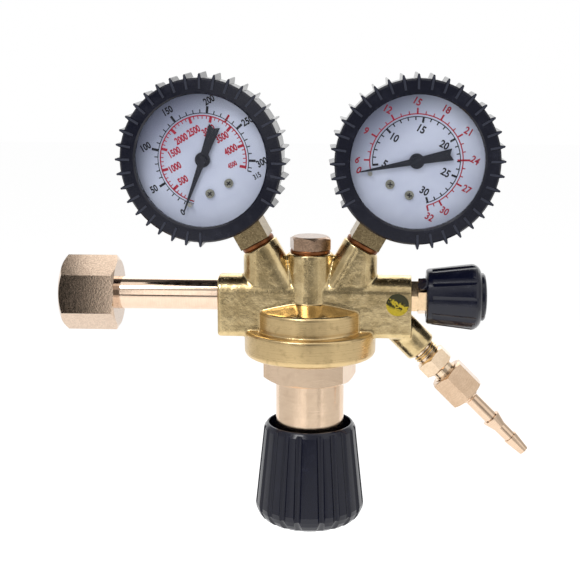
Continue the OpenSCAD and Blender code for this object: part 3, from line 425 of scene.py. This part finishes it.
MATERIALS = {
    "body": forged_brass(),
    "inlet_tube": turned_brass("tube_brass", INLET, X_DIR, (214, 186, 162), (240, 216, 194),
                               rough=(0.08, 0.14), lines=0.10),
    "inlet_nut": turned_brass("inlet_nut_brass", INLET, X_DIR, (188, 163, 142), (228, 204, 180),
                              rough=(0.10, 0.16), lines=0.06, speckle=0.25, thread=NUT_THREAD),
    "top_plug": hex_brass("plug_brass", SPRING_AXIS, Z_DIR, (122, 98, 80), (190, 160, 136),
                          speckle=0.35),
    "spring_housing": turned_brass("housing_brass", SPRING_AXIS, Z_DIR,
                                   (212, 184, 156), (244, 218, 190), rough=(0.14, 0.24)),
    "valve_bonnet": hex_brass("bonnet_brass", INLET, X_DIR),
    "outlet_adapter": hex_brass("adapter_brass", OUTLET, OUTLET_DIR,
                                (206, 180, 150), (244, 222, 194)),
    "outlet_nut": hex_brass("union_brass", OUTLET, OUTLET_DIR, (186, 158, 130), (224, 196, 168)),
    "hose_tail": turned_brass("tail_brass", OUTLET, OUTLET_DIR, (204, 176, 150), (234, 208, 182),
                              rough=(0.12, 0.22), lines=0.15),
    "relief_body": hex_brass("relief_brass", RELIEF, Y_DIR),
    "valve_seat": turned_brass("seat_brass", SPRING_AXIS, Z_DIR),
    "bourdon_tube": turned_brass("bourdon_brass", SPRING_AXIS, Z_DIR,
                                 (190, 150, 100), (226, 190, 140)),
    "socket": stem_brass(),
    "plug_gasket": clouded("copper", 900, 4, (98, 58, 36), (156, 100, 62), (0.32, 0.52),
                           bump=(0.3, 0.0001), metallic=1.0),
    "inlet_filter": sintered_bronze(),
    "inlet_seal": clouded("white_seal", 700, 3, (226, 226, 220), (244, 244, 240), (0.4, 0.6)),
    "diaphragm": clouded("rubber", 1500, 3, (28, 28, 30), (44, 44, 47), (0.5, 0.7),
                         bump=(0.2, 0.0001)),
    "left_gauge_boot": boot_rubber(-1, "boot_rubber_left"),
    "right_gauge_boot": boot_rubber(1, "boot_rubber_right"),
    "pressure_knob": knob_plastic(),
    "inspection_sticker": sticker(),
    "case": painted("case_paint", (9, 10, 14), (18, 19, 24), (0.5, 0.7)),
    "pointer": painted("pointer_paint", (24, 27, 38), (34, 37, 49), (0.35, 0.5)),
    "dial": dial_paint(),
    "lens": lens_glass(),
    "steel": clouded("steel", 1800, 3, (170, 170, 164), (214, 214, 208), (0.22, 0.38),
                     bump=(0.2, 0.00004), metallic=1.0),
    "dial_screws": painted("screw_metal", (100, 101, 92), (166, 166, 154), (0.3, 0.45)),
}
SAME_AS = {
    "gland_nut": "valve_bonnet",
    "poppet": "valve_seat",
    "sector": "valve_seat",
    "movement": "valve_seat",
    "gauge_gaskets": "plug_gasket",
    "valve_disc": "inlet_seal",
    "spindle_oring": "diaphragm",
    "pressure_knob_cap": "pressure_knob",
    "flow_knob": "pressure_knob",
    "flow_knob_cap": "pressure_knob",
}
BLACK = ink("ink_black", (14, 14, 24))
RED = ink("ink_red", (172, 24, 50))


def material_of(node):
    """A node's own material, or that of its kind, or steel."""
    if node in MATERIALS:
        return MATERIALS[node]
    on_gauge = node.startswith(("left_gauge_", "right_gauge_"))
    kind = node.split("gauge_", 1)[1] if on_gauge else node
    return MATERIALS.get(SAME_AS.get(kind, kind), MATERIALS["steel"])


for name, obj in NODES.items():
    obj.data.materials.clear()
    obj.data.materials.append(material_of(name))


# Pieces
def piece(name, verts, faces, matrix, material, body):
    """A new visible piece, from points in the matrix's own frame."""
    mesh = bpy.data.meshes.new(name)
    mesh.from_pydata([matrix @ Vector(v) for v in verts], [], faces)
    mesh.materials.append(material)
    mesh.update()
    obj = bpy.data.objects.new(name, mesh)
    bpy.context.scene.collection.objects.link(obj)
    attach(obj, body)


PRINT_LIFT = 0.04
RECESS_LIFT = 0.03
RECESS_STEP = 0.01
RECESS_TURN = 25
RECESS_LENGTH = 2.3
RECESS_WIDTH = 0.52
BAR_PER_PSI = 0.0689476


class Print:
    """Flat print in a gauge's own frame in millimetres and degrees, seen from -Y."""

    def __init__(self):
        self.verts = []
        self.faces = []
        self.y = DIAL_Y - PRINT_LIFT

    def add(self, points, faces):
        base = len(self.verts)
        self.verts += [(x, self.y, z) for x, z in points]
        self.faces += [[base + i for i in f] for f in faces]

    def arc(self, radius, width, a0, a1):
        steps = max(8, int(abs(a1 - a0) / 2))
        points, faces = [], []
        for i in range(steps + 1):
            a = math.radians(a0 + (a1 - a0) * i / steps)
            for r in (radius - width / 2, radius + width / 2):
                points.append((r * math.cos(a), r * math.sin(a)))
        for i in range(steps):
            faces.append((2 * i, 2 * i + 1, 2 * i + 3, 2 * i + 2))
        self.add(points, faces)

    def tick(self, angle, r0, r1, width, centre=(0, 0)):
        """A bar along the radius at an angle, from one distance to another."""
        a = math.radians(angle)
        c, s = math.cos(a), math.sin(a)
        half = width / 2
        corners = ((r0, -half), (r1, -half), (r1, half), (r0, half))
        points = [(centre[0] + r * c - w * s, centre[1] + r * s + w * c) for r, w in corners]
        self.add(points, [(0, 1, 2, 3)])

    def figure(self, body, angle, radius, height, squeeze, bold):
        """An upright number centred on a point of the dial."""
        curve = bpy.data.curves.new("figure", "FONT")
        curve.body = body
        curve.size = 10
        curve.offset = bold
        curve.resolution_u = 3
        temp = bpy.data.objects.new("figure", curve)
        bpy.context.scene.collection.objects.link(temp)
        bpy.context.view_layer.update()
        mesh = bpy.data.meshes.new_from_object(temp)
        xs = [v.co.x for v in mesh.vertices]
        ys = [v.co.y for v in mesh.vertices]
        k = height / (max(ys) - min(ys))
        cx, cy = (max(xs) + min(xs)) / 2, (max(ys) + min(ys)) / 2
        a = math.radians(angle)
        x, z = radius * math.cos(a), radius * math.sin(a)
        points = [((v.co.x - cx) * k * squeeze + x, (v.co.y - cy) * k + z) for v in mesh.vertices]
        self.add(points, [tuple(p.vertices) for p in mesh.polygons])
        bpy.data.objects.remove(temp)
        bpy.data.meshes.remove(mesh)
        bpy.data.curves.remove(curve)

    def build(self, name, side, material):
        piece(name, self.verts, self.faces, gauge_matrix(side), material, "fixed")


def pressure_dial():
    """Cylinder pressure, with an outer black scale to 315 and an inner red one to 4500."""
    black, red = Print(), Print()
    black_r, red_r = 20.4, 19.4

    def outer(value):
        return 225 - 0.85 * value

    def inner(value):
        return outer(value * BAR_PER_PSI)

    black.arc(black_r, 0.36, outer(-3), outer(315))
    for value in range(10, 311, 10):
        if value % 50:
            black.tick(outer(value), black_r, 22.0, 0.48)
    for value in range(50, 301, 50):
        black.tick(outer(value), black_r, 23.5, 1.1)
        black.figure(str(value), outer(value) - 1, 26.3, 3.3, squeeze=0.78, bold=0.36)
    black.tick(outer(315), black_r, 22.2, 0.6)
    black.figure("315", outer(318), 25.0, 2.5, squeeze=0.74, bold=0.34)
    black.figure("0", 218.3, 25.7, 3.0, squeeze=0.85, bold=0.4)
    red.arc(19.3, 0.56, inner(-40), inner(4540))
    for value in range(100, 4501, 100):
        if value % 500:
            red.tick(inner(value), 17.9, red_r, 0.42)
    for value in range(500, 4501, 500):
        red.tick(inner(value), 16.5, red_r, 1.25)
        height = 2.4 if value == 4500 else 3.4
        red.figure(str(value), inner(value), 13.2, height, squeeze=0.70, bold=0.42)
    red.tick(outer(230), red_r, 23.0, 1.0)
    black.build("left_scale_black", -1, BLACK)
    red.build("left_scale_red", -1, RED)


def flow_dial():
    """Flow, with an outer red scale to 32 and an inner black one to 30."""
    black, red = Print(), Print()
    black_r, red_r = 19.2, 20.4

    def outer(value):
        if value <= 6:
            return 208.2
        if value >= 30:
            return -30.5 - (value - 30) * 8.0
        return 268 - 9.93 * value

    def inner(value):
        return 266.5 - 10.37 * value

    red.arc(red_r, 0.5, 219, -46.5)
    for value in range(7, 32):
        if value % 3:
            red.tick(outer(value), red_r, 21.8, 0.46)
    for value in (6, 9, 12, 15, 18, 21, 27, 30, 32):
        red.tick(outer(value), red_r, 23.0, 0.8)
    red.tick(outer(24), 17.9, 23.6, 0.85)
    for value in (6, 9, 12, 15, 18, 21, 24, 27, 30, 32):
        red.figure(str(value), outer(value), 25.7, 3.3, squeeze=0.88, bold=0.3)
    red.figure("0", 218.5, 25.4, 3.3, squeeze=0.88, bold=0.3)
    black.arc(black_r, 0.42, inner(5) + 1, inner(30.2))
    for value in range(6, 30):
        if value % 5:
            black.tick(inner(value), 17.7, black_r, 0.55)
    for value in range(5, 31, 5):
        black.tick(inner(value), 16.7, black_r, 0.95)
        black.figure(str(value), inner(value), 13.9, 3.5, squeeze=0.88, bold=0.32)
    red.build("right_scale_red", 1, RED)
    black.build("right_scale_black", 1, BLACK)


def screw_recesses(side, name):
    """Painted shade of the cross recesses in the heads of a dial's two screws, as flat dark bars.
    """
    marks = Print()
    half = RECESS_LENGTH / 2
    for x in (-SCREW_X, SCREW_X):
        for bar, turn in enumerate((RECESS_TURN, RECESS_TURN + 90)):
            marks.y = DIAL_Y - SCREW_HEAD - RECESS_LIFT - bar * RECESS_STEP
            marks.tick(turn, -half, half, RECESS_WIDTH, (x, SCREW_Z))
    marks.build(name, side, BLACK)


def helix_thread(name, root, crest, pitch, start, end, matrix, material, body):
    """External thread as one swept V ridge that fades out at both ends."""
    per_turn = 48
    fade_steps = per_turn / 3
    steps = int((end - start) / pitch * per_turn)
    verts, faces = [], []
    for i in range(steps + 1):
        a = 2 * math.pi * i / per_turn
        t = start + (end - start) * i / steps
        fade = min(1, i / fade_steps, (steps - i) / fade_steps)
        top = root + (crest - root) * max(fade, 0.02)
        foot = root - 0.05
        for r, dz in ((foot, -0.46), (top, -0.06), (top, 0.06), (foot, 0.46)):
            verts.append((r * math.cos(a), r * math.sin(a), t + dz * pitch))
    for i in range(steps):
        for k in range(4):
            a, b = 4 * i + k, 4 * i + (k + 1) % 4
            faces.append((a, a + 4, b + 4, b))
    faces.append((0, 1, 2, 3))
    last = 4 * steps
    faces.append((last + 3, last + 2, last + 1, last))
    piece(name, verts, faces, matrix, material, body)


def on_machined_face(point):
    """True where the forging was cut: the cup, and the ends of the bosses and the barrel."""
    x, y, z = (c / MM for c in point)
    x -= AXIS_X
    radius = math.hypot(x, y)
    if z < CUP_TOP and radius > COLUMN_R and (abs(y) > BARREL_Y or z < BARREL_BOTTOM):
        return radius < CUP_R
    if z > COLUMN_TOP and radius < COLUMN_FACE_R or x > BARREL_END:
        return True
    for side in (-1, 1):
        stem = gauge_matrix(side).inverted() @ point
        if abs(stem.z + GAUGE_T - BOSS_T) < 1.0 and math.hypot(stem.x, stem.y) < BOSS_R:
            return True
    return (OUTLET_MATRIX.inverted() @ point).z > OUTLET_END


def applied(obj):
    """The object's mesh with its modifiers applied, which are then taken off."""
    graph = bpy.context.evaluated_depsgraph_get()
    mesh = bpy.data.meshes.new_from_object(obj.evaluated_get(graph))
    obj.modifiers.clear()
    return mesh


def stand_in(node, name):
    """A new object with a copy of a node's mesh."""
    obj = bpy.data.objects.new(name, NODES[node].data.copy())
    bpy.context.scene.collection.objects.link(obj)
    return obj


def take_place(obj, node):
    """Shade a stand-in smooth and show it in its node's place."""
    for p in obj.data.polygons:
        p.use_smooth = True
    obj.data.materials.clear()
    obj.data.materials.append(material_of(node))
    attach(obj, "fixed")
    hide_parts(node)


def forge(node, name, voxel, passes, kept):
    """A stand-in for a forging, with its inner corners filled and its outer edges rounded."""
    obj = stand_in(node, name)
    remesh = obj.modifiers.new("remesh", "REMESH")
    remesh.mode = "VOXEL"
    remesh.voxel_size = voxel
    obj.data = applied(obj)
    forged = [v.index for v in obj.data.vertices if not on_machined_face(v.co)]
    group = obj.vertex_groups.new(name="forged")
    group.add(forged, 1.0, "ADD")
    light = obj.modifiers.new("light", "SMOOTH")
    light.iterations = 3
    heavy = obj.modifiers.new("heavy", "SMOOTH")
    heavy.iterations = passes
    heavy.vertex_group = "forged"
    fewer = obj.modifiers.new("fewer", "DECIMATE")
    fewer.ratio = kept
    obj.data = applied(obj)
    obj.vertex_groups.clear()
    take_place(obj, node)


def soften(node, name, width):
    """A stand-in for a moulded piece, with its sharp edges rounded off."""
    obj = stand_in(node, name)
    flats = obj.modifiers.new("flats", "DECIMATE")
    flats.decimate_type = "DISSOLVE"
    flats.angle_limit = math.radians(0.5)
    rounded = obj.modifiers.new("rounded", "BEVEL")
    rounded.width = width
    rounded.segments = 2
    rounded.angle_limit = math.radians(24)
    triangles = obj.modifiers.new("triangles", "TRIANGULATE")
    triangles.keep_custom_normals = True
    obj.data = applied(obj)
    take_place(obj, node)


pressure_dial()
flow_dial()
# Painted shade: flat dark bars for the cross recesses of the dial screws
screw_recesses(-1, "left_screw_recess_shade")
screw_recesses(1, "right_screw_recess_shade")
forge("body", "forged_body", voxel=0.42 * MM, passes=12, kept=0.35)
for side in ("left", "right"):
    soften(side + "_gauge_boot", side + "_boot_soft", width=0.28 * MM)
helix_thread("adapter_thread", THREAD_ROOT, THREAD_CREST, THREAD_PITCH, THREAD_START, THREAD_END,
             OUTLET_MATRIX, thread_brass(), body="fixed")


# Floor, light and camera, in metres
MIDDLE_X = 0.106
MIDDLE = (MIDDLE_X, 0, 0)
FLOOR_Z = -0.42
FLOOR_HALF = 6
FLOOR_GLOW = 0.5
WORLD_LIGHT = 0.5
WORLD_REFLECTED = 0.25
CARD_Y = -0.9


def stage_plane(name, centre, x_half, y_half, material, rotation=(0, 0, 0)):
    mesh = bpy.data.meshes.new(name)
    mesh.from_pydata(
        [(-x_half, -y_half, 0), (x_half, -y_half, 0), (x_half, y_half, 0), (-x_half, y_half, 0)],
        [], [(0, 1, 2, 3)])
    mesh.materials.append(material)
    obj = bpy.data.objects.new(name, mesh)
    obj.location = centre
    obj.rotation_euler = rotation
    bpy.context.scene.collection.objects.link(obj)
    return obj


def stage_material(name, level, glow=0.0):
    """A matte stage surface; glow is light that every ray sees."""
    mat = bpy.data.materials.new(name)
    mat.use_nodes = True
    bsdf = mat.node_tree.nodes["Principled BSDF"]
    bsdf.inputs["Base Color"].default_value = (level, level, level, 1)
    bsdf.inputs["Roughness"].default_value = 1.0
    bsdf.inputs["Specular IOR Level"].default_value = 0.0
    bsdf.inputs["Emission Color"].default_value = (1, 1, 1, 1)
    bsdf.inputs["Emission Strength"].default_value = glow
    return mat


def scaled(nt, value, factor, plus=0.0):
    n = nt.nodes.new("ShaderNodeMath")
    n.operation = "MULTIPLY_ADD"
    nt.links.new(value, n.inputs[0])
    n.inputs[1].default_value = factor
    n.inputs[2].default_value = plus
    return n.outputs[0]


def background_rays(nt, glossy_share):
    """1 for camera and transmission rays, which see the white background, and a share for
    reflections."""
    path = nt.nodes.new("ShaderNodeLightPath")
    glossy = scaled(nt, path.outputs["Is Glossy Ray"], glossy_share)
    total = path.outputs["Is Camera Ray"]
    for value in (path.outputs["Is Transmission Ray"], glossy):
        most = nt.nodes.new("ShaderNodeMath")
        most.operation = "MAXIMUM"
        nt.links.new(total, most.inputs[0])
        nt.links.new(value, most.inputs[1])
        total = most.outputs[0]
    return total


def floor_material():
    """White floor that stays white to the horizon, with the part's shadow on its matte share."""
    mat = stage_material("floor_white", 0.97)
    nt = mat.node_tree
    glow = scaled(nt, background_rays(nt, 1.0), FLOOR_GLOW)
    nt.links.new(glow, nt.nodes["Principled BSDF"].inputs["Emission Strength"])
    return mat


def card(name, centre, x_half, y_half, level, rotation=(0, 0, 0)):
    """A glowing or dark card that only the part's reflections show."""
    obj = stage_plane(name, centre, x_half, y_half, stage_material(name, 0.0, level), rotation)
    obj.visible_camera = False
    obj.visible_diffuse = False
    obj.visible_transmission = False
    obj.visible_shadow = False


def front_card(name, x_low, x_high, z_low, z_high, level, y=CARD_Y):
    """An upright card in front of the part, or behind it."""
    card(name, ((x_low + x_high) / 2, y, (z_low + z_high) / 2),
         (x_high - x_low) / 2, (z_high - z_low) / 2, level, (math.radians(90), 0, 0))


def side_card(name, x, y_low, y_high, z_low, z_high, level):
    """An upright card beside the part."""
    card(name, (x, (y_low + y_high) / 2, (z_low + z_high) / 2),
         (z_high - z_low) / 2, (y_high - y_low) / 2, level, (0, math.radians(90), 0))


stage_plane("floor", (MIDDLE_X, 0.2, FLOOR_Z), FLOOR_HALF, FLOOR_HALF, floor_material())
# Name, then left, right, lower and upper edge, then brightness
for row in (
    ("nut_dark", -0.42, -0.18, -0.14, 0.34, 0.0),
    ("tube_dark", -0.18, -0.04, -0.21, -0.06, 0.08),
    ("tube_white", -0.17, -0.04, -0.055, 0.5, 1.6),
    ("left_face_grey", -0.04, 0.0, -0.17, 0.5, 0.22),
    ("column_dark", 0.0, 0.095, -0.17, 0.5, 0.03),
    ("right_face_grey", 0.095, 0.4, -0.17, 0.5, 0.22),
    ("housing_grey", -0.04, 0.58, -0.41, -0.17, 0.9),
    ("right_grey", 0.4, 0.9, -0.17, 0.5, 0.45),
    ("right_low_grey", 0.58, 0.9, -0.41, -0.17, 0.6),
    ("front_white", -0.66, -0.37, -0.41, 0.5, 1.0),
    ("front_grey", -2.6, -0.67, -0.41, 0.5, 0.5),
):
    front_card(*row)
side_card("left_side_grey", -0.75, -0.9, 0.6, -0.41, -0.06, 0.82)
side_card("right_side_grey", 1.0, -0.9, 0.6, -0.41, -0.06, 0.82)
front_card("back_white", -1.2, 1.4, -0.2, 0.9, 1.3, y=1.3)
card("top_dark", (MIDDLE_X, 0.55, 1.5), 1.2, 0.55, 0.12)
card("top_white", (MIDDLE_X, -0.5, 1.45), 1.2, 0.45, 1.2)

world = bpy.data.worlds.new("studio")
bpy.context.scene.world = world
world.use_nodes = True
wt = world.node_tree
background = wt.nodes["Background"]
background.inputs["Color"].default_value = (1, 1, 1, 1)
world_level = scaled(wt, background_rays(wt, WORLD_REFLECTED), 1 - WORLD_LIGHT, WORLD_LIGHT)
wt.links.new(world_level, background.inputs["Strength"])


def area_light(name, location, size, power):
    """A square lamp that points at the part."""
    data = bpy.data.lights.new(name, "AREA")
    data.energy = power
    data.size = size
    obj = bpy.data.objects.new(name, data)
    obj.location = location
    direction = Vector(MIDDLE) - Vector(location)
    obj.rotation_euler = direction.to_track_quat("-Z", "Y").to_euler()
    bpy.context.scene.collection.objects.link(obj)
    return obj


area_light("key", (-0.35, -0.75, 0.95), size=0.45, power=5.2)
area_light("fill", (0.95, -0.55, 0.45), size=0.9, power=1.3)
area_light("back", (0.1, 0.9, 0.8), size=0.8, power=3.2)
# Light on the dials and the floor alone, out of the brass's reflections
soft = area_light("soft", (0.0, -1.0, 0.5), size=1.0, power=3.6)
soft.visible_glossy = False

# The photograph's camera; the spring's axis crosses the barrel's at CROSSING_PX
FOCAL_PX = 1250
FRAME_PX = 580
CROSSING_PX = (310.2, 294.7)
PX_PER_MM = 2.18
SENSOR_MM = 36
ELEVATION = math.radians(11.2)
YAW = math.radians(3.8)
forward = Vector((
    -math.sin(YAW) * math.cos(ELEVATION),
    math.cos(YAW) * math.cos(ELEVATION),
    -math.sin(ELEVATION),
))
right = Vector((math.cos(YAW), math.sin(YAW), 0))
up = right.cross(forward)
distance = FOCAL_PX / PX_PER_MM
off_x = (CROSSING_PX[0] - FRAME_PX / 2) / FOCAL_PX * distance
off_y = (FRAME_PX / 2 - CROSSING_PX[1]) / FOCAL_PX * distance
eye = SPRING_AXIS - (right * off_x + up * off_y + forward * distance) * MM

camera_data = bpy.data.cameras.new("camera")
camera_data.sensor_width = SENSOR_MM
camera_data.lens = SENSOR_MM * FOCAL_PX / FRAME_PX
camera_data.clip_start = 0.01
camera_data.clip_end = 50
camera = bpy.data.objects.new("camera", camera_data)
camera.matrix_world = Matrix((
    (right.x, up.x, -forward.x, eye.x),
    (right.y, up.y, -forward.y, eye.y),
    (right.z, up.z, -forward.z, eye.z),
    (0, 0, 0, 1),
))
bpy.context.scene.collection.objects.link(camera)
bpy.context.scene.camera = camera
bpy.context.scene.view_settings.view_transform = "Standard"

bpy.context.view_layer.update()
